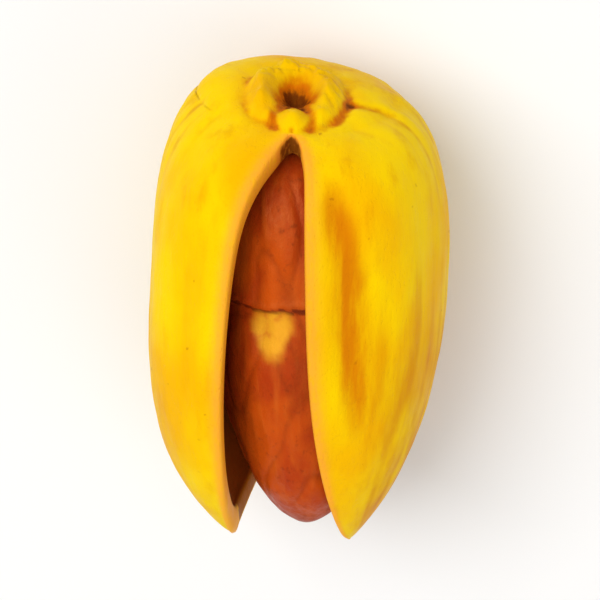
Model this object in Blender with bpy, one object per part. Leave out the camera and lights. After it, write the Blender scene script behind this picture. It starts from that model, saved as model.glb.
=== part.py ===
"""A pistachio in its shell: a hard shell that has split along its suture, and the loose kernel inside it.

The nut lies on a small flat spot of its lower suture, with the split on top. +Y runs along the nut to its stem end,
+X across its two valves, and +Z is up. The origin is on the surface it lies on, under the middle of the shell's box.
"""

import math
from itertools import pairwise

import bmesh
import bpy
from mathutils import Matrix, Vector

# Driving dimensions of the shell as it would be with its split closed, in metres.
LENGTH = 0.0195
HEIGHT = 0.0121
WALL = 0.00085
STEM_WALL = 0.0011
TIP_WALL = 0.0012
FLAT_DEPTH = 0.00015  # how far the resting spot is worn into the lower suture

# Stations run along the nut, from 0 at the stem end to 1 at the tips. Each swell is (power, roundness).
WIDEST = 0.43
STEM_SWELL_UPRIGHT = (3.4, 0.50)
TIP_SWELL_UPRIGHT = (2.0, 0.63)
STEM_RISE = 0.0011  # the middle line climbs towards both ends, so the lower suture is the rounder one
TIP_RISE = 0.0013
STEM_LEAN = 0.32  # slope of the stem face, which looks a little upwards
STEM_SLANT = 0.06  # slope of the stem face across the nut: its left side stands further out
STEM_LEAN_REACH = 0.30

# The split. Each valve's upper edge stands off the middle plane by a first opening, which then changes to the tip's.
UPPER_SPLIT_START = 0.041
LOWER_SPLIT_START = 0.60
LOWER_SPLIT_POWER = 1.4
OPENING_START_POWER = 0.72  # below 1, so the end of the split is round
OPENING_POWER = 4.0
LEFT_VALVE = {
    "half_width": 0.00467,
    "stem_swell": (3.6, 0.13),
    "tip_swell": (2.9, 0.95),
    "first": 0.0032,
    "reach": 0.22,
    "tip": 0.00272,
}
RIGHT_VALVE = {
    "half_width": 0.00563,
    "stem_swell": (2.6, 0.26),
    "tip_swell": (2.35, 0.99),
    "first": 0.00085,
    "reach": 0.02,
    "tip": 0.00225,
}

# The round scar that the stem left, a little above the middle of the stem face.
SCAR_HEIGHT = 0.0012
SCAR_RADIUS = 0.0015
SCAR_RIM_WIDTH = 0.0005
SCAR_RIM_HEIGHT = 0.00018
SCAR_PIT_RADIUS = 0.00062
SCAR_PIT_DEPTH = 0.0004

KERNEL_LENGTH = 0.01695
KERNEL_WIDTH = 0.00795
KERNEL_HEIGHT = 0.00915
KERNEL_WIDEST = 0.42
KERNEL_STEM_SWELL = (2.8, 0.41)
KERNEL_TIP_SWELL_ACROSS = (2.2, 0.59)
KERNEL_TIP_SWELL_UPRIGHT = (2.0, 0.72)
KERNEL_STEM_RISE = 0.0006
KERNEL_TIP_RISE = 0.0016
KERNEL_SLANT = 0.0006  # the tip end lies this much further to the right than the stem end
KERNEL_CENTRE = (0.0001, -0.00063, 0.00005)  # from the middle of the closed shell

STATION_POWERS = (3.2, 1.25)  # how strongly the shell's rings crowd towards its stem end and its tips
SHELL_ROWS = 28
SHELL_COLUMNS = 14  # on each valve
KERNEL_ROWS = 22
KERNEL_COLUMNS = 22
SAME_POINT = 1e-7

SHELL_COLOUR = (0.78, 0.50, 0.02)
KERNEL_COLOUR = (0.33, 0.07, 0.02)


def clear_scene():
    for obj in list(bpy.data.objects):
        bpy.data.objects.remove(obj)


def material(name, colour, roughness):
    made = bpy.data.materials.new(name)
    made.use_nodes = True
    shader = made.node_tree.nodes["Principled BSDF"]
    shader.inputs["Base Color"].default_value = (*colour, 1.0)
    shader.inputs["Roughness"].default_value = roughness
    shader.inputs["Metallic"].default_value = 0.0
    return made


def swell(station, widest, stem, tip):
    """Share of the full width at a station: 0 at both ends and 1 where the nut is widest."""
    if station < widest:
        power, roundness = stem
        away = (widest - station) / widest
    else:
        power, roundness = tip
        away = (station - widest) / (1 - widest)
    return max(0.0, 1 - away**power) ** roundness


def stations(rows):
    """Stations that crowd towards both ends, so that the rings there are evenly spaced over the rounded surface."""
    stem_power, tip_power = STATION_POWERS
    shares = [row / rows for row in range(rows + 1)]
    return [f**stem_power / (f**stem_power + (1 - f) ** tip_power) for f in shares]


def middle_height(station, widest, stem_rise, tip_rise):
    """Height of the middle line, which is lowest where the nut is widest."""
    if station < widest:
        return stem_rise * ((widest - station) / widest) ** 2
    return tip_rise * ((station - widest) / (1 - widest)) ** 2


def upper_opening(valve, station):
    """How far a valve's upper edge stands off the middle plane."""
    if station <= UPPER_SPLIT_START:
        return 0.0
    past_start = station - UPPER_SPLIT_START
    along = past_start / (1 - UPPER_SPLIT_START)
    first = valve["first"] * (1 - math.exp(-((past_start / valve["reach"]) ** OPENING_START_POWER)))
    return first + (valve["tip"] - first) * along**OPENING_POWER


def lower_opening(valve, station):
    """How far a valve's lower edge stands off the middle plane."""
    along = max(0.0, station - LOWER_SPLIT_START) / (1 - LOWER_SPLIT_START)
    return valve["tip"] * along**LOWER_SPLIT_POWER


def scar_relief(offset):
    """How far the surface stands out at this distance from the middle of the stem scar."""
    rim = SCAR_RIM_HEIGHT * math.exp(-(((offset - SCAR_RADIUS) / SCAR_RIM_WIDTH) ** 2))
    return rim - SCAR_PIT_DEPTH * math.exp(-((offset / SCAR_PIT_RADIUS) ** 2))


def shell_point(side, valve, station, angle, inner):
    """A point of a valve, at an angle from 0 on its upper edge to pi on its lower edge."""
    wall = WALL if inner else 0.0
    stem_end = LENGTH / 2 - (STEM_WALL if inner else 0.0)
    tip_end = -LENGTH / 2 + (TIP_WALL if inner else 0.0)
    across = (valve["half_width"] - wall) * swell(station, WIDEST, valve["stem_swell"], valve["tip_swell"])
    upright = (HEIGHT / 2 - wall) * swell(station, WIDEST, STEM_SWELL_UPRIGHT, TIP_SWELL_UPRIGHT)
    closed_x = across * math.sin(angle)
    over_middle = upright * math.cos(angle)
    towards_top = (1 + math.cos(angle)) / 2
    upper = upper_opening(valve, station)
    lower = lower_opening(valve, station)
    fade = max(0.0, 1 - station / STEM_LEAN_REACH) ** 2
    y = stem_end + (tip_end - stem_end) * station
    y -= (STEM_LEAN * over_middle + STEM_SLANT * side * closed_x) * fade
    if station < WIDEST and not inner:
        y += scar_relief(math.hypot(closed_x, over_middle - SCAR_HEIGHT))
    x = closed_x + lower + (upper - lower) * towards_top
    z = middle_height(station, WIDEST, STEM_RISE, TIP_RISE) + over_middle
    return Vector((side * x, y, z))


def add_valve(mesh, side, valve):
    """One half of the shell: an outer skin, an inner skin and the faces between them along the split."""
    rows = stations(SHELL_ROWS)
    angles = [math.pi * column / SHELL_COLUMNS for column in range(SHELL_COLUMNS + 1)]
    skins = [
        [[mesh.verts.new(shell_point(side, valve, s, a, inner)) for a in angles] for s in rows]
        for inner in (False, True)
    ]
    quads = []
    for inner, skin in enumerate(skins):
        outward = (side > 0) != bool(inner)
        for upper, lower in pairwise(skin):
            for column in range(SHELL_COLUMNS):
                quad = [upper[column], upper[column + 1], lower[column + 1], lower[column]]
                quads.append(quad if outward else quad[::-1])
    for start, column in ((UPPER_SPLIT_START, 0), (LOWER_SPLIT_START, -1)):
        for row in range(SHELL_ROWS):
            if rows[row + 1] <= start:
                continue
            outer, inside = skins[0], skins[1]
            quad = [outer[row][column], outer[row + 1][column], inside[row + 1][column], inside[row][column]]
            quads.append(quad if (side > 0) == (column == 0) else quad[::-1])
    for quad in quads:
        mesh.faces.new(quad)


def wear_flat(mesh):
    """Cuts the lowest part of the shell level, to the flat spot that the nut rests on."""
    level = min(vertex.co.z for vertex in mesh.verts) + FLAT_DEPTH
    everything = mesh.verts[:] + mesh.edges[:] + mesh.faces[:]
    cut = bmesh.ops.bisect_plane(
        mesh,
        geom=everything,
        dist=SAME_POINT,
        plane_co=(0, 0, level),
        plane_no=(0, 0, -1),
        clear_outer=True,
    )
    edges = [item for item in cut["geom_cut"] if isinstance(item, bmesh.types.BMEdge)]
    bmesh.ops.holes_fill(mesh, edges=edges, sides=0)


def new_object(name, mesh, look):
    bmesh.ops.recalc_face_normals(mesh, faces=mesh.faces[:])
    data = bpy.data.meshes.new(name)
    mesh.to_mesh(data)
    mesh.free()
    data.materials.append(look)
    data.shade_smooth()
    data.set_sharp_from_angle(angle=math.radians(40))
    obj = bpy.data.objects.new(name, data)
    bpy.context.scene.collection.objects.link(obj)
    return obj


def make_shell():
    mesh = bmesh.new()
    add_valve(mesh, 1, RIGHT_VALVE)
    add_valve(mesh, -1, LEFT_VALVE)
    bmesh.ops.remove_doubles(mesh, verts=mesh.verts[:], dist=SAME_POINT)
    wear_flat(mesh)
    return new_object("shell", mesh, material("shell", SHELL_COLOUR, 0.45))


def kernel_point(station, angle):
    across = KERNEL_WIDTH / 2 * swell(station, KERNEL_WIDEST, KERNEL_STEM_SWELL, KERNEL_TIP_SWELL_ACROSS)
    upright = KERNEL_HEIGHT / 2 * swell(station, KERNEL_WIDEST, KERNEL_STEM_SWELL, KERNEL_TIP_SWELL_UPRIGHT)
    x = across * math.sin(angle) + KERNEL_SLANT * (station - 0.5)
    y = KERNEL_LENGTH * (0.5 - station)
    z = middle_height(station, KERNEL_WIDEST, KERNEL_STEM_RISE, KERNEL_TIP_RISE)
    return Vector((x, y, z + upright * math.cos(angle)))


def make_kernel():
    mesh = bmesh.new()
    rows = [(1 - math.cos(math.pi * row / KERNEL_ROWS)) / 2 for row in range(KERNEL_ROWS + 1)]
    angles = [2 * math.pi * column / KERNEL_COLUMNS for column in range(KERNEL_COLUMNS)]
    rings = [[mesh.verts.new(kernel_point(s, a)) for a in angles] for s in rows]
    for upper, lower in pairwise(rings):
        for column in range(KERNEL_COLUMNS):
            after = (column + 1) % KERNEL_COLUMNS
            mesh.faces.new([upper[column], upper[after], lower[after], lower[column]])
    bmesh.ops.remove_doubles(mesh, verts=mesh.verts[:], dist=SAME_POINT)
    kernel = new_object("kernel", mesh, material("kernel", KERNEL_COLOUR, 0.35))
    kernel.location = KERNEL_CENTRE
    return kernel


def stand_on_origin(shell, others):
    """Moves everything so that the shell's flat spot is at height 0 and its box is centred over the origin."""
    corners = [Vector(corner) for corner in shell.bound_box]
    low = Vector(map(min, *corners))
    high = Vector(map(max, *corners))
    shift = -Vector(((low.x + high.x) / 2, (low.y + high.y) / 2, low.z))
    shell.data.transform(Matrix.Translation(shift))
    for obj in others:
        obj.location += shift


def main():
    clear_scene()
    shell = make_shell()
    kernel = make_kernel()
    stand_on_origin(shell, [kernel])


main()
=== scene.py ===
"""The looks of a pistachio in its shell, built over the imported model.

The nut's lengths are in millimetres up to Grids.mesh(), which makes its meshes in metres. The floor, the
lights and the camera are in metres. A point of the shell is found from its station, from 0 at the stem end
to 1 at the tips, and from its angle, from 0 on a valve's upper edge to pi on its lower edge. +Y is the stem
end, +Z is up and the right valve is on +X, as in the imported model.
"""

import math

import bmesh
import bpy
import numpy as np
from mathutils import Matrix, Vector, noise


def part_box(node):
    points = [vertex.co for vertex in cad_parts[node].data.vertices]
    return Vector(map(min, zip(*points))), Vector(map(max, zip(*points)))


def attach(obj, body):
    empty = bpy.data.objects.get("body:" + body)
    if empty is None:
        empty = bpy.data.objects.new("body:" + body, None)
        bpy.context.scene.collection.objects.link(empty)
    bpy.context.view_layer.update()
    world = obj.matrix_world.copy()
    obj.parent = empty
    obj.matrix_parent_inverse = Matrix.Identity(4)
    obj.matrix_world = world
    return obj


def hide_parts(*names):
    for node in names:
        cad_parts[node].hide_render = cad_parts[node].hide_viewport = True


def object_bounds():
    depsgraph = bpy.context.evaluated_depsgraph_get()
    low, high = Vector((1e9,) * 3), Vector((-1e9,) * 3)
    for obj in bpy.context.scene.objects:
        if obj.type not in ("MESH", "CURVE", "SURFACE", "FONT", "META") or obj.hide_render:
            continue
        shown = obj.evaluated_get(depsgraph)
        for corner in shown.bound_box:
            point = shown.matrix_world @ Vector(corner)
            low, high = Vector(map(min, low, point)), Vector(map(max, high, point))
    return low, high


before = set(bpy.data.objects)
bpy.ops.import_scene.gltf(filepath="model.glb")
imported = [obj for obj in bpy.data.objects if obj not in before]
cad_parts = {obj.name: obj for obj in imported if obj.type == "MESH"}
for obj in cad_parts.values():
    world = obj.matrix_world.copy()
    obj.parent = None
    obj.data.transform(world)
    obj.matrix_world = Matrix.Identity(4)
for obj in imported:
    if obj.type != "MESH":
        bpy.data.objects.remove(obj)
cad_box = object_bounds()

MM = 0.001
METRE = 1000.0

# The shell's plain shape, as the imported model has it. Each swell is the pair of powers that swell() takes.
WIDEST = 0.43
STEM_SWELL_UPRIGHT = (3.4, 0.50)
TIP_SWELL_UPRIGHT = (2.0, 0.63)
STEM_RISE = 1.1
TIP_RISE = 1.3
STEM_LEAN = 0.32
STEM_SLANT = 0.06
STEM_LEAN_REACH = 0.30
ROUND_RING_REACH = 0.2  # the first rings, on the flat stem end, are round up to about this radius
LENGTH = 19.5
HEIGHT = 12.1
WALL = 0.85
STEM_WALL = 1.1
TIP_WALL = 1.2

UPPER_SPLIT_START = 0.041
LOWER_SPLIT_START = 0.60
LOWER_SPLIT_POWER = 1.4
OPENING_START_POWER = 0.72
OPENING_POWER = 4.0
LEFT, RIGHT = -1, 1
# The split stands open by "first" once it is past "reach" of the nut, and by "tip" at the tips. "trough" is
# the depth of the groove beside the rim, and the last one is how much painted shade turns the valve's flank
# amber.
VALVES = {
    LEFT: {
        "half_width": 4.67,
        "stem_swell": (3.6, 0.13),
        "tip_swell": (2.9, 0.95),
        "first": 3.2,
        "reach": 0.22,
        "tip": 2.72,
        "trough": 0.08,
        "flank_shade": 0.0,
    },
    RIGHT: {
        "half_width": 5.63,
        "stem_swell": (2.6, 0.26),
        "tip_swell": (2.35, 0.99),
        "first": 0.85,
        "reach": 0.02,
        "tip": 2.25,
        "trough": 0.24,
        "flank_shade": 0.58,
    },
}
TROUGH_STATIONS = (0.05, 0.20, 0.35, 0.70)  # the shallow groove beside each rim, which runs away from it
TROUGH_ANGLES = (0.10, 0.17, 0.27, 0.33)
LIP_BULGE = 0.20  # how far a rim is rounded out into the split
LIP_BULGE_SHARE = 0.3  # of the gap, where the gap is narrow
SPLIT_SHADE_REACH = 0.045  # how far along the nut the narrow end of the split is darkened with painted shade
RIM_STRENGTH = 0.8  # how much of their own colour the rims have
LOWER_LIP_SHADE = 0.95  # how much of the inner skin's colour their lower edges have, as painted shade
RIM_BAND = 0.06  # angle over which the outer skin takes on the colour of its rim

# Relief of the shell's skin. Heights and depths are in millimetres.
TROUGH_WIDTH = 0.15  # as an angle
DEEP_TROUGH = 0.24  # a trough this deep has its full painted shade
# a seam this deep has its full painted shade
DEEP_SEAM = 0.12
SHOULDER_HEIGHT = 0.10  # the swelling beyond the trough
EDGE_HEIGHT = 0.05
RAY_HEIGHT = 0.055  # the ridges that fan out from the stem end
RAY_RATE = 13  # how closely they lie
RAY_REACH = 0.13
FINE_RAY_HEIGHT = 0.014
FINE_RAY_RATE = 31
FINE_RAY_REACH = 0.35
BIG_LUMP_HEIGHT = 0.18
MIDDLING_LUMP_HEIGHT = 0.055
SMALL_LUMP_HEIGHT = 0.018
FLANK_DIP = 0.06
KEEL_HEIGHT = 0.10  # along the lower seam
KEEL_WIDTH = 0.75
UPPER_SEAM_DEPTH = 0.10
UPPER_SEAM_WIDTH = 0.13
LOWER_SEAM_DEPTH = 0.13
LOWER_SEAM_WIDTH = 0.16

# The stem scar, with its middle at SCAR_HEIGHT over the middle line.
SCAR_HEIGHT = 1.05
COLLAR_RADIUS = 1.28
COLLAR_WIDTH = 0.50
COLLAR_HEIGHT = 0.48
PIT_RADIUS = 0.62
PIT_DEPTH = 0.62
MOUTH_WIDTH = 0.85  # where the collar is open
MOAT_DISTANCE = 0.80  # from the collar's crest
MOAT_WIDTH = 0.24
MOAT_DEPTH = 0.13
GROOVE_DEPTH = 0.10
BEAD_DISTANCE = 1.55  # from the middle of the scar, towards the split
BEAD_RADIUS = 0.48
BEAD_HEIGHT = 0.46

# The kernel's plain shape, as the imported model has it.
KERNEL_WIDEST = 0.42
KERNEL_STEM_SWELL = (2.8, 0.41)
KERNEL_TIP_SWELL_ACROSS = (2.2, 0.59)
KERNEL_TIP_SWELL_UPRIGHT = (2.0, 0.72)
KERNEL_STEM_RISE = 0.6
KERNEL_TIP_RISE = 1.6
KERNEL_HEIGHT = 9.15
KERNEL_WIDTH = 7.95
KERNEL_SLANT = 0.6  # the tip end lies this much further to the right than the stem end

# Veins of the kernel's skin, as (angle, width as an angle, height, seed). An angle of 0 is the top.
VEINS = (
    (-0.62, 0.045, 0.8, 61.0),
    (-0.22, 0.040, 0.9, 62.0),
    (0.16, 0.050, 1.0, 63.0),
    (0.60, 0.040, 0.7, 64.0),
    (1.15, 0.050, 0.9, 65.0),
    (1.75, 0.045, 0.8, 66.0),
    (2.40, 0.050, 0.9, 67.0),
    (3.10, 0.050, 1.0, 68.0),
    (3.80, 0.045, 0.8, 69.0),
    (4.45, 0.050, 0.9, 70.0),
    (5.05, 0.045, 0.8, 71.0),
)

# Relief and darker places of the kernel's skin.
STEP_AT = 1.75  # where the skin ends in a step, along the nut from the middle of the kernel
STEP_DEPTH = 0.14
PEEL_AT = (-0.85, 0.60)  # across and along the nut, where the skin is gone from a small patch
PEEL_SIZE = (1.15, 1.25)
PEEL_DEPTH = 0.04
STEP_LIP_HEIGHT = 0.05
KERNEL_LUMP_HEIGHT = 0.20
VEIN_HEIGHT = 0.05
WRINKLE_HEIGHT = 0.045
CREASE_DEPTH = 0.06
KERNEL_GRAIN_HEIGHT = 0.012
KERNEL_SINK = 0.02  # how far the whole skin lies inside the plain shape
LEFT_SHADE_ALONG = (-1.5, 2.0, 6.0, 8.0)  # painted shade on the kernel's left flank, towards the tips
LEFT_SHADE_EDGE = (-2.3, -1.7, -0.9, 0.4)  # how far across that flank the painted shade reaches

SHELL_ROWS = 225
OUTER_COLUMNS = 120  # on each valve
INNER_COLUMNS = 60
LIP_COLUMNS = 8
KERNEL_ROWS = 210
KERNEL_COLUMNS = 230
WELD = 2e-9  # points closer than this, in metres, become one
FAR_FROM_STEM = 9.0  # stands for any place without the stem's tint
STEM_TINT_FADE = 12.0  # how fast the stem's tint fades along the nut
FIRST_STATION = 1e-7  # of the first ring, which is closed to a short line

FLOOR_COLOUR = (0.86, 0.86, 0.86)
FLOOR_BRIGHTER = 1.03  # how much brighter its palest clouds are
FLOOR_CLOUD = 60.0  # their size in millimetres
FLOOR_ROUGHNESS = 0.85
FLOOR_SPECULAR = 0.2
FLOOR_SIZE = 1.8

WHITE = (1.0, 1.0, 1.0)
WARM_WHITE = (1.0, 0.94, 0.84)
WORLD_BRIGHTNESS = 0.42


def srgb(red, green, blue):
    """A colour as a screen shows it, from 0 to 255, as Blender's linear values."""
    shares = (red / 255, green / 255, blue / 255)
    return tuple(((c + 0.055) / 1.055) ** 2.4 if c > 0.04045 else c / 12.92 for c in shares)


def smooth(low, high, values):
    """0 below low, 1 above high, and a soft step between them."""
    share = np.clip((values - low) / (high - low), 0.0, 1.0)
    return share * share * (3 - 2 * share)


def bump(distance, width):
    """1 where the distance is 0, falling softly to nothing over about two widths."""
    return np.exp(-((distance / width) ** 2))


def lumps(points, cell, stretch=1.0, seed=0.0):
    """Smooth noise, about -0.7 to 0.7, in lumps a cell across that stretch draws out along the nut."""
    scaled = points.reshape(-1, 3) / np.array([cell, cell * stretch, cell]) + seed
    return np.array([noise.noise(p) for p in scaled.tolist()]).reshape(points.shape[:-1])


def swell(station, widest, stem, tip):
    """Share of the full width at each station: 0 at both ends and 1 where the nut is widest."""
    before = np.clip((widest - station) / widest, 0.0, 1.0)
    after = np.clip((station - widest) / (1 - widest), 0.0, 1.0)
    before_share = (1 - before ** stem[0]) ** stem[1]
    after_share = (1 - after ** tip[0]) ** tip[1]
    return np.where(station < widest, before_share, after_share)


def middle_height(station, widest, stem_rise, tip_rise):
    """Height of the middle line, which is lowest where the nut is widest."""
    before = np.clip((widest - station) / widest, 0.0, 1.0)
    after = np.clip((station - widest) / (1 - widest), 0.0, 1.0)
    return stem_rise * before**2 + tip_rise * after**2


def upper_opening(valve, station):
    """How far a valve's upper edge stands off the middle plane."""
    past_start = np.maximum(station - UPPER_SPLIT_START, 0.0)
    first = valve["first"] * (1 - np.exp(-((past_start / valve["reach"]) ** OPENING_START_POWER)))
    return first + (valve["tip"] - first) * (past_start / (1 - UPPER_SPLIT_START)) ** OPENING_POWER


def lower_opening(valve, station):
    """How far a valve's lower edge stands off the middle plane."""
    along = np.maximum(station - LOWER_SPLIT_START, 0.0) / (1 - LOWER_SPLIT_START)
    return valve["tip"] * along**LOWER_SPLIT_POWER


def shell_skin(side, station, angle, inner):
    """Points of a valve's outer or inner skin, without relief, and how far each is over the middle line."""
    valve = VALVES[side]
    wall = WALL if inner else 0.0
    stem_end = LENGTH / 2 - (STEM_WALL if inner else 0.0)
    tip_end = -LENGTH / 2 + (TIP_WALL if inner else 0.0)
    across = (valve["half_width"] - wall) * swell(station, WIDEST, valve["stem_swell"], valve["tip_swell"])
    upright = (HEIGHT / 2 - wall) * swell(station, WIDEST, STEM_SWELL_UPRIGHT, TIP_SWELL_UPRIGHT)
    across = across * np.where(station < WIDEST, 1 - np.exp(-upright / ROUND_RING_REACH), 1.0)
    closed_x = across * np.sin(angle)
    over_middle = upright * np.cos(angle)
    towards_top = (1 + np.cos(angle)) / 2
    upper = upper_opening(valve, station)
    lower = lower_opening(valve, station)
    fade = np.clip(1 - station / STEM_LEAN_REACH, 0.0, 1.0) ** 2
    lean = STEM_LEAN * over_middle + STEM_SLANT * side * closed_x
    y = stem_end + (tip_end - stem_end) * station - lean * fade
    x = side * (closed_x + lower + (upper - lower) * towards_top)
    z = middle_height(station, WIDEST, STEM_RISE, TIP_RISE) + over_middle
    return np.stack([x, y, z], axis=-1), over_middle


def outward_normals(points, side):
    """Unit normals of a grid of points, facing away from the nut."""
    across = np.cross(np.gradient(points, axis=0), np.gradient(points, axis=1)) * side
    length = np.linalg.norm(across, axis=-1, keepdims=True)
    normals = across / np.maximum(length, 1e-9)
    for pole, beside in ((0, 1), (-1, -2)):
        mean = normals[beside].mean(axis=0)
        normals[pole] = mean / np.linalg.norm(mean)
    return normals


def scar_relief(x, over_middle, points):
    """The stem scar: a torn collar that is open towards the split, round a pit, with a bead in its mouth.

    Gives its height, and how much it is darkened: the stem's own brown stain in and round the pit, with
    painted shade in the pit, moat, grooves and ring and behind the right shoulder.
    """
    up = over_middle - SCAR_HEIGHT
    radius = np.hypot(x, up)
    ragged = lumps(points, 0.60, seed=3.0) + 0.5 * lumps(points, 0.22, seed=5.0)
    mouth = bump(x, MOUTH_WIDTH) * smooth(0.2, 0.9, up)
    closed = 1 - np.clip(mouth * 1.4, 0.0, 1.0)
    off_collar = radius - COLLAR_RADIUS - 0.10 * ragged
    collar = COLLAR_HEIGHT * (1 + 0.5 * ragged) * bump(off_collar, COLLAR_WIDTH) * closed
    moat_ring = bump(off_collar - MOAT_DISTANCE, MOAT_WIDTH)
    moat = MOAT_DEPTH * moat_ring * closed
    off_pit = np.hypot(x * np.clip(1.0 - 0.5 * up, 0.6, 2.0), up)
    pit = PIT_DEPTH * bump(off_pit, PIT_RADIUS) * (1 + 0.4 * ragged)
    off_bead = np.hypot(x, up - BEAD_DISTANCE)
    bead = BEAD_HEIGHT * bump(off_bead, BEAD_RADIUS)
    ring = bump(off_bead - 0.75, 0.20) * smooth(-0.2, 0.3, BEAD_DISTANCE - up + 0.6)
    groove_line = up - 0.35 + 0.22 * (x - 1.5)
    groove = bump(groove_line, 0.20) * smooth(1.6, 2.3, x) * (1 - smooth(3.4, 4.4, x))
    # Painted shade beyond the shoulder on the right of the stem end, added to the stain below.
    shoulder = 0.20 * bump(up + 1.4, 0.9) * smooth(0.9, 1.9, x)
    patchy = np.clip(0.80 + 1.5 * lumps(points, 1.1, seed=9.0) - 0.5 * smooth(0.2, 1.4, -up), 0.1, 1.2)
    # Painted shade in the moat, grooves and ring, with the stem's brown and painted shade in the pit.
    moat_stain = 0.50 * moat_ring * closed * patchy
    stain = moat_stain + 1.2 * bump(off_pit, 0.75) + 0.4 * groove + 0.6 * ring
    # The raised bead and collar are kept clear of the stain and painted shade.
    clear_bead = 1 - 0.9 * bump(off_bead, BEAD_RADIUS)
    clear_collar = 1 - 0.7 * bump(off_collar, 0.3) * closed
    stain = stain * clear_bead * clear_collar + shoulder
    relief = collar - moat - pit + bead - GROOVE_DEPTH * groove - GROOVE_DEPTH * ring
    return relief, np.clip(stain * (1 + 0.4 * ragged), 0.0, 1.0)


def outer_detail(side, station, angle, points, over_middle):
    """How far the outer skin stands out of the plain shape, how much painted shade turns its hollows and
    flank amber, and the stem's stain with the painted shade round the scar.
    """
    valve = VALVES[side]
    rounded = np.clip(np.sin(angle), 0.0, 1.0)
    waver = 0.05 * lumps(points, 3.0, 2.0, seed=7.0)
    reach = smooth(0.06, 0.25, station) * (1 - smooth(0.50, 0.80, station))
    off_trough = angle - np.interp(station, TROUGH_STATIONS, TROUGH_ANGLES) + waver
    trough = valve["trough"] * bump(off_trough, TROUGH_WIDTH) * reach
    shoulder = SHOULDER_HEIGHT * bump(off_trough - 0.42, 0.24) * reach
    edge = EDGE_HEIGHT * bump(angle, 0.06) * smooth(0.06, 0.15, station)
    ray = np.sin(angle * RAY_RATE + 6 * lumps(points, 5.0, 2.5, seed=11.0) + side)
    rays = RAY_HEIGHT * ray * rounded * np.exp(-station / RAY_REACH) * smooth(0.005, 0.05, station)
    fine_ray = np.sin(angle * FINE_RAY_RATE + 8 * lumps(points, 4.0, 4.0, seed=13.0))
    fine_rays = FINE_RAY_HEIGHT * fine_ray * rounded * (0.35 + 0.65 * np.exp(-station / FINE_RAY_REACH))
    fine_rays = fine_rays * smooth(0.01, 0.06, station) * (1 - smooth(0.93, 0.99, station))
    big = BIG_LUMP_HEIGHT * lumps(points, 5.5, 1.6, seed=17.0) - FLANK_DIP * rounded
    middling = MIDDLING_LUMP_HEIGHT * lumps(points, 1.7, 2.2, seed=19.0)
    small = SMALL_LUMP_HEIGHT * lumps(points, 0.55, 2.0, seed=23.0)
    closed_top = 1 - smooth(UPPER_SPLIT_START - 0.004, UPPER_SPLIT_START + 0.02, station)
    closed_below = 1 - smooth(LOWER_SPLIT_START - 0.03, LOWER_SPLIT_START + 0.02, station)
    x = points[..., 0]
    above_bead = over_middle > SCAR_HEIGHT + BEAD_DISTANCE + BEAD_RADIUS
    upper_seam = bump(x, UPPER_SEAM_WIDTH) * above_bead * closed_top
    lower_half = over_middle < 0
    lower_seam = bump(x, LOWER_SEAM_WIDTH) * lower_half * closed_below * smooth(0.01, 0.06, station)
    keel = KEEL_HEIGHT * bump(x, KEEL_WIDTH) * lower_half * closed_below * smooth(0.02, 0.15, station)
    seam = UPPER_SEAM_DEPTH * upper_seam + LOWER_SEAM_DEPTH * lower_seam
    scar, stain = scar_relief(x, over_middle, points)
    near_stem = station < WIDEST / 2
    scar, stain = scar * near_stem, stain * near_stem
    relief = shoulder + edge + rays + fine_rays + big + middling + small + keel - trough - seam + scar
    # Painted shade: the troughs, seams and hollows between the rays turn amber, and so does the valve's
    # flank.
    between_rays = 0.5 * np.maximum(-rays, 0) / RAY_HEIGHT
    between_fine_rays = 0.5 * np.maximum(-fine_rays, 0) / FINE_RAY_HEIGHT
    amber_shade = trough / DEEP_TROUGH + between_rays + seam / DEEP_SEAM + between_fine_rays
    amber_shade = amber_shade + valve["flank_shade"] * smooth(0.1, 0.8, angle) * smooth(0.25, 0.65, station)
    return relief, np.clip(amber_shade, 0.0, 1.5), stain


def shell_stations():
    """Stations whose rings are evenly spaced over the shell, with one exactly where each split starts."""
    near_pole = np.geomspace(FIRST_STATION, 0.02, 400)
    dense = np.concatenate([near_pole, np.linspace(0.021, 0.979, 960), 1 - near_pole[::-1], [1.0]])
    angles = np.array([[0.0, math.pi / 2, math.pi]])
    valves = [shell_skin(side, dense[:, None], angles, False)[0] for side in VALVES]
    meridians = np.concatenate(valves, axis=1)
    steps = np.linalg.norm(np.diff(meridians, axis=0), axis=-1).max(axis=1)
    travelled = np.concatenate([[0.0], np.cumsum(steps)])
    station = np.interp(np.linspace(0.0, travelled[-1], SHELL_ROWS + 1), travelled, dense)
    for start in (UPPER_SPLIT_START, LOWER_SPLIT_START):
        station[np.argmin(np.abs(station - start))] = start
    return station


class Grids:
    """Collects grids of points, with values for the materials to read, and makes one mesh of them."""

    def __init__(self, *value_names):
        self.points = []
        self.quads = []
        self.values = {name: [] for name in value_names}
        self.count = 0

    def add(self, points, flip, **values):
        rows, columns = points.shape[:2]
        index = np.arange(rows * columns).reshape(rows, columns) + self.count
        corners = [index[:-1, :-1], index[:-1, 1:], index[1:, 1:], index[1:, :-1]]
        quads = np.stack(corners[::-1] if flip else corners, axis=-1).reshape(-1, 4)
        self.points.append(points.reshape(-1, 3))
        self.quads.append(quads)
        self.count += rows * columns
        for name, collected in self.values.items():
            value = np.broadcast_to(values.get(name, 0.0), (rows, columns))
            collected.append(value.reshape(-1))

    def mesh(self, name):
        data = bpy.data.meshes.new(name)
        points = np.concatenate(self.points) * MM
        data.from_pydata(points.tolist(), [], np.concatenate(self.quads).tolist())
        for value_name, collected in self.values.items():
            attribute = data.attributes.new(value_name, "FLOAT", "POINT")
            attribute.data.foreach_set("value", np.concatenate(collected).astype(np.float32))
        welded = bmesh.new()
        welded.from_mesh(data)
        bmesh.ops.remove_doubles(welded, verts=welded.verts[:], dist=WELD)
        bmesh.ops.recalc_face_normals(welded, faces=welded.faces[:])
        welded.to_mesh(data)
        welded.free()
        return data


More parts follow.
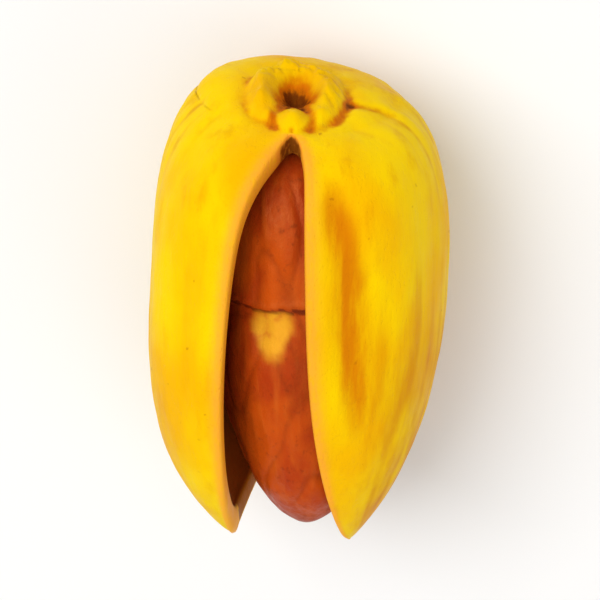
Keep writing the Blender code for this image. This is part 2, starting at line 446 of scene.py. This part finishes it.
def new_piece(name, grids, look, node):
    """An object that stands for a CAD node and rides where it does."""
    data = grids.mesh(name)
    data.materials.append(look)
    data.shade_smooth()
    piece = bpy.data.objects.new(name, data)
    bpy.context.scene.collection.objects.link(piece)
    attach(piece, "root")
    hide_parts(node)
    return piece


def lip(outer_edge, inner_edge, gap, side):
    """The rounded rim between a valve's outer and inner edges, and how far across it each point is."""
    share = np.linspace(0.0, 1.0, LIP_COLUMNS + 1)[None, :, None]
    across = (1 - np.cos(math.pi * share)) / 2
    out = np.sin(math.pi * share) ** 0.6
    bulge = np.minimum(LIP_BULGE, LIP_BULGE_SHARE * gap)[:, None, None]
    points = outer_edge[:, None, :] + (inner_edge - outer_edge)[:, None, :] * across
    points = points - bulge * out * np.array([side, 0.0, 0.0])
    return points, np.broadcast_to(share[..., 0], points.shape[:2])


def close_seams(skins, open_above, open_below):
    """Joins the two valves where the shell isn't split, and closes the first ring to a short line."""
    for column, is_open in ((0, open_above), (-1, open_below)):
        shared = (skins[LEFT][~is_open, column] + skins[RIGHT][~is_open, column]) / 2
        shared[:, 0] = 0.0
        for side in (LEFT, RIGHT):
            skins[side][~is_open, column] = shared
    for side in (LEFT, RIGHT):
        skins[side][0] = (skins[side][0] + skins[side][0][::-1]) / 2
        skins[side][-1] = skins[side][-1].mean(axis=0)


def place_in_box(points_list, box):
    """The shift that brings these points under the top of a CAD node's box and centres them in it."""
    every = np.concatenate([p.reshape(-1, 3) for p in points_list])
    low, high = np.array(box[0]) * METRE, np.array(box[1]) * METRE
    shift = (low + high) / 2 - (every.min(axis=0) + every.max(axis=0)) / 2
    shift[2] = high[2] - every[:, 2].max()
    return shift


def level_base(points):
    """Presses whatever is lower than the surface that the nut lies on up to it, as a small flat spot."""
    softness = 0.02
    points[..., 2] = (points[..., 2] + np.sqrt(points[..., 2] ** 2 + softness**2)) / 2


def build_shell():
    station = shell_stations()
    open_above = station > UPPER_SPLIT_START
    open_below = station > LOWER_SPLIT_START
    outer_angle = np.linspace(0.0, math.pi, OUTER_COLUMNS + 1)
    inner_angle = np.linspace(0.0, math.pi, INNER_COLUMNS + 1)
    rows = station[:, None]
    plain = {side: shell_skin(side, rows, outer_angle[None, :], False) for side in VALVES}
    shift = place_in_box([plain[side][0] for side in VALVES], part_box("shell"))
    outer, inner, amber_shade, stain, stem = {}, {}, {}, {}, {}
    for side in VALVES:
        points, over_middle = plain[side]
        detail = outer_detail(side, rows, outer_angle[None, :], points, over_middle)
        relief, amber_shade[side], stain[side] = detail
        outer[side] = points + outward_normals(points, side) * relief[..., None]
        stem[side] = np.hypot(points[..., 0], over_middle - SCAR_HEIGHT) + STEM_TINT_FADE * rows
        inner[side] = shell_skin(side, rows, inner_angle[None, :], True)[0]
    close_seams(outer, open_above, open_below)
    close_seams(inner, open_above, open_below)
    grids = Grids("amber_shade", "stain", "stem", "rim", "inside")
    for side, valve in VALVES.items():
        outer[side] += shift
        inner[side] += shift
        level_base(outer[side])
        level_base(inner[side])
        near_rim = bump(outer_angle, RIM_BAND) * open_above[:, None]
        near_rim = np.maximum(near_rim, bump(math.pi - outer_angle, RIM_BAND) * open_below[:, None])
        flip = side == LEFT
        skin_values = {"amber_shade": amber_shade[side], "stain": stain[side], "stem": stem[side]}
        grids.add(outer[side], flip, rim=RIM_STRENGTH * near_rim, **skin_values)
        grids.add(inner[side], not flip, stem=FAR_FROM_STEM, inside=1.0)
        for column, is_open, opening in ((0, open_above, upper_opening), (-1, open_below, lower_opening)):
            first = int(np.argmax(is_open)) - 1
            gap = opening(valve, station[first:])
            points, across = lip(outer[side][first:, column], inner[side][first:, column], gap, side)
            lip_flip = flip == (column == 0)
            past_start = station[first:, None] - UPPER_SPLIT_START
            middle_of_lip = smooth(0.0, 0.35, across) * (1 - smooth(0.85, 1.0, across))
            # Painted shade on the lip where the split is still narrow.
            split_end_shade = (1 - smooth(0.3, 1.0, past_start / SPLIT_SHADE_REACH)) * middle_of_lip
            # Painted shade: the lower lips take the inner skin's shaded colour.
            lip_shade = smooth(0.0, 0.35, across) * LOWER_LIP_SHADE * (column != 0)
            inside = np.maximum(across, lip_shade)
            rim = RIM_STRENGTH * (1 - lip_shade)
            grids.add(points, lip_flip, stem=FAR_FROM_STEM, rim=rim, inside=inside, stain=split_end_shade)
    return grids


def build_kernel():
    share = np.linspace(0.0, 1.0, KERNEL_ROWS + 1)[:, None]
    station = (1 - np.cos(math.pi * share)) / 2
    angle = np.linspace(0.0, 2 * math.pi, KERNEL_COLUMNS + 1)[None, :]
    low, high = (np.array(corner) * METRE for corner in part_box("kernel"))
    length = high[1] - low[1]
    across = KERNEL_WIDTH / 2 * swell(station, KERNEL_WIDEST, KERNEL_STEM_SWELL, KERNEL_TIP_SWELL_ACROSS)
    upright = KERNEL_HEIGHT / 2 * swell(station, KERNEL_WIDEST, KERNEL_STEM_SWELL, KERNEL_TIP_SWELL_UPRIGHT)
    x = across * np.sin(angle) + KERNEL_SLANT * (station - 0.5)
    y = length * (0.5 - station) + 0 * angle
    middle = middle_height(station, KERNEL_WIDEST, KERNEL_STEM_RISE, KERNEL_TIP_RISE)
    z = middle + upright * np.cos(angle)
    plain = np.stack([x, y, z], axis=-1)
    shift = place_in_box([plain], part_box("kernel"))
    relief, vein, crease, peel, dusk = kernel_detail(station, angle, plain)
    points = plain + outward_normals(plain, 1) * relief[..., None] + shift
    points[:, -1] = points[:, 0]
    for pole in (0, -1):
        points[pole] = points[pole].mean(axis=0)
    grids = Grids("vein", "crease", "peel", "dusk", "station")
    grids.add(points, False, vein=vein, crease=crease, peel=peel, dusk=dusk, station=station)
    return grids


def kernel_detail(station, angle, points):
    """How far the kernel's skin stands out, then where it is veined, where its creases get painted shade,
    where the skin is gone, and where its left flank gets painted shade.
    """
    ends = np.sin(math.pi * np.clip(station, 0.0, 1.0)) ** 0.5
    waver = lumps(points, 3.2, 1.6, seed=31.0)
    vein = np.zeros(waver.shape)
    for place, width, height, seed in VEINS:
        wander = 0.20 * lumps(points, 2.6, 2.0, seed=seed) + 0.05 * waver
        away = np.abs((angle - place + wander + math.pi) % (2 * math.pi) - math.pi)
        faint = 0.55 + 0.9 * lumps(points, 2.0, 1.5, seed=seed + 0.5)
        line = height * np.clip(faint, 0.0, 1.0) * bump(away, width) * smooth(0.35, 0.75, ends)
        vein = np.maximum(vein, line)
    wrinkle = lumps(points, 0.75, 2.6, seed=37.0)
    crease = np.clip(1 - np.abs(lumps(points, 1.5, 2.2, seed=41.0)) * 3.6, 0.0, 1.0) * smooth(0.2, 0.6, ends)
    raised = KERNEL_LUMP_HEIGHT * waver * ends + VEIN_HEIGHT * vein + WRINKLE_HEIGHT * wrinkle
    relief = raised - CREASE_DEPTH * crease - KERNEL_SINK
    relief = relief + KERNEL_GRAIN_HEIGHT * lumps(points, 0.28, 1.5, seed=43.0)
    ragged = lumps(points, 0.8, 1.0, seed=47.0) + 0.4 * lumps(points, 0.25, 1.0, seed=53.0)
    on_top = smooth(0.2, 1.6, points[..., 2])
    past_step = (STEP_AT + 0.22 * ragged) - points[..., 1]
    step = smooth(-0.07, 0.07, past_step) * (1 - smooth(0.6, 3.0, past_step)) * on_top
    step_lip = bump(past_step + 0.16, 0.13) * on_top
    narrowed = PEEL_SIZE[0] * (1 - 0.45 * smooth(0.2, 2.0, past_step))
    across = (points[..., 0] - PEEL_AT[0]) / narrowed
    along = (points[..., 1] - PEEL_AT[1]) / PEEL_SIZE[1]
    away = np.hypot(across, along) + 0.20 * ragged
    peel = (1 - smooth(0.55, 1.15, away)) * on_top * smooth(-0.05, 0.10, past_step)
    relief = relief - STEP_DEPTH * step + STEP_LIP_HEIGHT * step_lip - PEEL_DEPTH * peel
    # The step's edge joins the creases, and both are darkened with painted shade.
    crease = np.maximum(0.6 * crease, 2.0 * bump(past_step - 0.02, 0.08) * on_top)
    # Painted shade on the kernel's left flank, past the step.
    dusk_edge = np.interp(-points[..., 1], LEFT_SHADE_ALONG, LEFT_SHADE_EDGE) + 0.5 * ragged
    dusk = smooth(-0.55, 0.45, dusk_edge - points[..., 0]) * smooth(-0.2, 0.3, past_step)
    return relief, np.clip(vein, 0.0, 1.0), crease, peel, dusk


class Look:
    """A material and short ways to add nodes to it."""

    def __init__(self, name):
        self.material = bpy.data.materials.new(name)
        self.material.use_nodes = True
        self.nodes = self.material.node_tree.nodes
        self.links = self.material.node_tree.links
        self.shader = self.nodes["Principled BSDF"]

    def put(self, socket, value):
        if isinstance(value, bpy.types.NodeSocket):
            self.links.new(value, socket)
        elif isinstance(value, tuple) and len(value) == 3 and socket.type == "RGBA":
            socket.default_value = (*value, 1.0)
        else:
            socket.default_value = value

    def add(self, kind, settings=None, **inputs):
        node = self.nodes.new(kind)
        for key, value in (settings or {}).items():
            setattr(node, key, value)
        for key, value in inputs.items():
            self.put(node.inputs[key.replace("_", " ")], value)
        return node

    def value(self, name):
        """What the mesh stores at each point under this name."""
        return self.add("ShaderNodeAttribute", {"attribute_name": name}).outputs["Fac"]

    def position(self, stretch=1.0):
        """Place on the piece in millimetres, squeezed along the nut so that patterns come out long there."""
        place = self.add("ShaderNodeTexCoord").outputs["Object"]
        mapping = self.add("ShaderNodeMapping", Vector=place, Scale=(METRE, METRE / stretch, METRE))
        return mapping.outputs["Vector"]

    def noise(self, cell, stretch=1.0, detail=4.0, roughness=0.5, twist=0.0):
        """Noise from 0 to 1 whose lumps are about one cell across."""
        node = self.add(
            "ShaderNodeTexNoise",
            Vector=self.position(stretch),
            Scale=1 / cell,
            Detail=detail,
            Roughness=roughness,
            Distortion=twist,
        )
        return node.outputs["Fac"]

    def ramp(self, value, low, high, start=0.0, end=1.0):
        """Start below low, end above high, and a soft step between them."""
        node = self.add("ShaderNodeMapRange", {"interpolation_type": "SMOOTHSTEP"})
        for socket, number in zip(node.inputs[:5], (value, low, high, start, end)):
            self.put(socket, number)
        return node.outputs["Result"]

    def maths(self, operation, first, second=0.0):
        node = self.add("ShaderNodeMath", {"operation": operation})
        self.put(node.inputs[0], first)
        self.put(node.inputs[1], second)
        return node.outputs["Value"]

    def mix(self, share, first, second):
        """The first colour where the share is 0 and the second where it is 1."""
        node = self.add("ShaderNodeMix", {"data_type": "RGBA"})
        for socket, value in ((node.inputs[0], share), (node.inputs[6], first), (node.inputs[7], second)):
            self.put(socket, value)
        return node.outputs[2]

    def bumps(self, *layers):
        """Chains bump nodes, each (height, depth in millimetres), onto the shader's normal."""
        normal = None
        for height, depth in layers:
            node = self.add("ShaderNodeBump", Height=height, Distance=depth * MM, Strength=1.0)
            if normal is not None:
                self.put(node.inputs["Normal"], normal)
            normal = node.outputs["Normal"]
        self.put(self.shader.inputs["Normal"], normal)


SHELL_BRIGHT = srgb(247, 207, 2)
SHELL_GOLD = srgb(241, 179, 2)
SHELL_AMBER = srgb(205, 108, 4)
SHELL_BROWN = srgb(112, 50, 8)
RIM_TAN = srgb(250, 164, 52)
# The inner skin's tan, darkened as painted shade.
INSIDE_SHADED_TAN = srgb(146, 70, 18)
SPECK = srgb(170, 96, 8)
KERNEL_RED = srgb(198, 79, 11)
KERNEL_DARK = srgb(100, 26, 6)
KERNEL_LIGHT = srgb(206, 98, 28)
KERNEL_PLUM = srgb(172, 54, 12)
SEED_TAN = srgb(206, 124, 30)
SEED_PALE = srgb(236, 168, 36)
SHELL_SHEEN = srgb(255, 205, 60)
KERNEL_SHEEN = srgb(255, 180, 110)
SHELL_SPECULAR = 0.11
KERNEL_SPECULAR = 0.42


def shell_look():
    look = Look("shell")
    cloud = look.noise(3.4, 1.8, detail=3.0)
    streak = look.noise(0.85, 7.0, detail=5.0, roughness=0.6)
    grain = look.noise(0.16, 2.5, detail=3.0)
    colour = look.mix(look.ramp(cloud, 0.38, 0.70), SHELL_BRIGHT, SHELL_GOLD)
    colour = look.mix(look.ramp(streak, 0.50, 0.76, 0.0, 0.30), colour, SHELL_AMBER)
    # Painted shade: the troughs, seams, hollows between the rays and the right valve's flank turn amber.
    amber_shade = look.maths("MULTIPLY", look.value("amber_shade"), look.ramp(streak, 0.25, 0.6, 0.55, 1.0))
    colour = look.mix(look.ramp(amber_shade, 0.15, 1.0, 0.0, 0.9), colour, SHELL_AMBER)
    stem = look.maths("ADD", look.value("stem"), look.ramp(streak, 0.3, 0.7, 0.0, 0.9))
    colour = look.mix(look.ramp(stem, 0.9, 3.2, 0.35, 0.0), colour, SHELL_AMBER)
    # The stem's stain, with painted shade round the scar, behind its right shoulder and at the narrow end of
    # the split.
    stain = look.maths("MULTIPLY", look.value("stain"), look.ramp(grain, 0.2, 0.7, 0.8, 1.1))
    colour = look.mix(look.ramp(stain, 0.1, 0.6), colour, SHELL_AMBER)
    colour = look.mix(look.ramp(stain, 0.55, 1.0, 0.0, 0.9), colour, SHELL_BROWN)
    specks = look.ramp(look.noise(0.42, 1.3, detail=2.0, roughness=0.4), 0.74, 0.82, 0.0, 0.6)
    colour = look.mix(specks, colour, SPECK)
    inside = look.value("inside")
    # The inner skin's tan, darkened with painted shade.
    colour = look.mix(look.ramp(inside, 0.72, 1.0), colour, INSIDE_SHADED_TAN)
    rim = look.maths("MULTIPLY", look.value("rim"), look.ramp(inside, 0.70, 0.95, 1.0, 0.15))
    rim_shade = look.mix(look.ramp(grain, 0.4, 0.75, 0.0, 0.5), RIM_TAN, SHELL_GOLD)
    colour = look.mix(rim, colour, rim_shade)
    # The darkest of that stain and painted shade is browned again, over the rim and inner skin too.
    colour = look.mix(look.ramp(stain, 0.7, 1.0, 0.0, 0.9), colour, SHELL_BROWN)
    look.put(look.shader.inputs["Base Color"], colour)
    look.put(look.shader.inputs["Roughness"], look.ramp(look.noise(0.6, 2.0), 0.3, 0.7, 0.46, 0.62))
    look.shader.inputs["Specular IOR Level"].default_value = SHELL_SPECULAR
    look.shader.inputs["Specular Tint"].default_value = (*SHELL_SHEEN, 1.0)
    pores = look.ramp(look.noise(0.11, 1.6, detail=2.0), 0.55, 0.75, 1.0, 0.0)
    look.bumps((streak, 0.05), (grain, 0.018), (pores, 0.010))
    return look.material


def kernel_look():
    look = Look("kernel")
    cloud = look.noise(2.2, 1.6, detail=4.0)
    streak = look.noise(0.50, 6.0, detail=5.0, roughness=0.6, twist=0.3)
    mottle = look.noise(0.30, 1.5, detail=4.0, roughness=0.6)
    colour = look.mix(look.ramp(cloud, 0.40, 0.66), KERNEL_RED, KERNEL_PLUM)
    colour = look.mix(look.ramp(streak, 0.45, 0.75, 0.0, 0.35), colour, KERNEL_LIGHT)
    colour = look.mix(look.ramp(mottle, 0.56, 0.76, 0.0, 0.45), colour, KERNEL_DARK)
    colour = look.mix(look.ramp(look.value("vein"), 0.25, 0.9, 0.0, 0.35), colour, KERNEL_LIGHT)
    # Painted shade in the creases and along the edge of the step.
    colour = look.mix(look.ramp(look.value("crease"), 0.3, 1.0, 0.0, 0.75), colour, KERNEL_DARK)
    ends = look.maths("ABSOLUTE", look.maths("SUBTRACT", look.value("station"), 0.5))
    colour = look.mix(look.ramp(ends, 0.42, 0.5, 0.0, 0.4), colour, KERNEL_DARK)
    # Painted shade on the kernel's left flank.
    colour = look.mix(look.ramp(look.value("dusk"), 0.0, 1.0, 0.0, 0.10), colour, KERNEL_DARK)
    blotch = look.noise(0.55, 1.2, detail=3.0)
    seed = look.mix(look.ramp(blotch, 0.40, 0.75, 0.0, 0.55), SEED_PALE, SEED_TAN)
    seed = look.mix(look.ramp(blotch, 0.52, 0.75, 0.0, 0.4), seed, KERNEL_LIGHT)
    colour = look.mix(look.value("peel"), colour, seed)
    look.put(look.shader.inputs["Base Color"], colour)
    look.put(look.shader.inputs["Roughness"], look.ramp(mottle, 0.3, 0.7, 0.32, 0.50))
    look.shader.inputs["Specular IOR Level"].default_value = KERNEL_SPECULAR
    look.shader.inputs["Specular Tint"].default_value = (*KERNEL_SHEEN, 1.0)
    look.bumps((streak, 0.04), (mottle, 0.03))
    return look.material


def floor_look():
    look = Look("floor")
    shade = look.noise(FLOOR_CLOUD, detail=2.0)
    brighter = tuple(c * FLOOR_BRIGHTER for c in FLOOR_COLOUR)
    look.put(look.shader.inputs["Base Color"], look.mix(shade, FLOOR_COLOUR, brighter))
    look.shader.inputs["Roughness"].default_value = FLOOR_ROUGHNESS
    look.shader.inputs["Specular IOR Level"].default_value = FLOOR_SPECULAR
    return look.material


def add_floor():
    half = FLOOR_SIZE / 2
    data = bpy.data.meshes.new("floor")
    corners = [(-half, -half, 0), (half, -half, 0), (half, half, 0), (-half, half, 0)]
    data.from_pydata(corners, [], [(0, 1, 2, 3)])
    data.materials.append(floor_look())
    floor = bpy.data.objects.new("floor", data)
    bpy.context.scene.collection.objects.link(floor)


def point_at(obj, place, target):
    obj.location = place
    obj.rotation_mode = "QUATERNION"
    obj.rotation_quaternion = (target - place).to_track_quat("-Z", "Y")


def add_light(name, direction, distance, size, brightness, colour):
    """A square soft box. Brightness 1 lights white paper that faces it to white."""
    data = bpy.data.lights.new(name, "AREA")
    data.size = size
    data.energy = brightness * math.pi**2 * distance**2
    data.color = colour
    lamp = bpy.data.objects.new(name, data)
    bpy.context.scene.collection.objects.link(lamp)
    centre = (cad_box[0] + cad_box[1]) / 2
    point_at(lamp, centre + Vector(direction).normalized() * distance, centre)


def add_lights():
    add_light("key", (-0.42, 0.34, 0.88), distance=0.30, size=0.20, brightness=0.67, colour=WHITE)
    add_light("fill", (0.75, -0.45, 0.60), distance=0.30, size=0.22, brightness=0.19, colour=WARM_WHITE)
    add_light("top", (0.12, 0.05, 1.0), distance=0.35, size=0.30, brightness=0.22, colour=WHITE)
    world = bpy.data.worlds.new("studio")
    world.use_nodes = True
    background = world.node_tree.nodes["Background"]
    background.inputs["Color"].default_value = (*WHITE, 1.0)
    background.inputs["Strength"].default_value = WORLD_BRIGHTNESS
    bpy.context.scene.world = world


def add_camera():
    """Looks down on the split, from a little towards the stem end."""
    tilt, turn = math.radians(18), math.radians(5)
    lens, sensor, share_of_height = 120.0, 36.0, 0.80
    low, high = cad_box
    centre = (low + high) / 2
    distance = (high.y - low.y) / share_of_height * lens / sensor
    back = Vector((math.sin(turn), math.sin(tilt), math.cos(tilt))).normalized()
    data = bpy.data.cameras.new("camera")
    data.lens = lens
    data.sensor_width = sensor
    data.clip_start = distance * 0.1
    data.clip_end = distance * 20
    camera = bpy.data.objects.new("camera", data)
    bpy.context.scene.collection.objects.link(camera)
    right = Vector((0.0, 1.0, 0.0)).cross(back).normalized()
    camera.location = centre + back * distance
    camera.rotation_mode = "QUATERNION"
    camera.rotation_quaternion = Matrix((right, back.cross(right), back)).transposed().to_quaternion()
    bpy.context.scene.camera = camera


bpy.context.scene.view_settings.view_transform = "Standard"
new_piece("pistachio_shell", build_shell(), shell_look(), "shell")
new_piece("pistachio_kernel", build_kernel(), kernel_look(), "kernel")
add_floor()
add_lights()
add_camera()
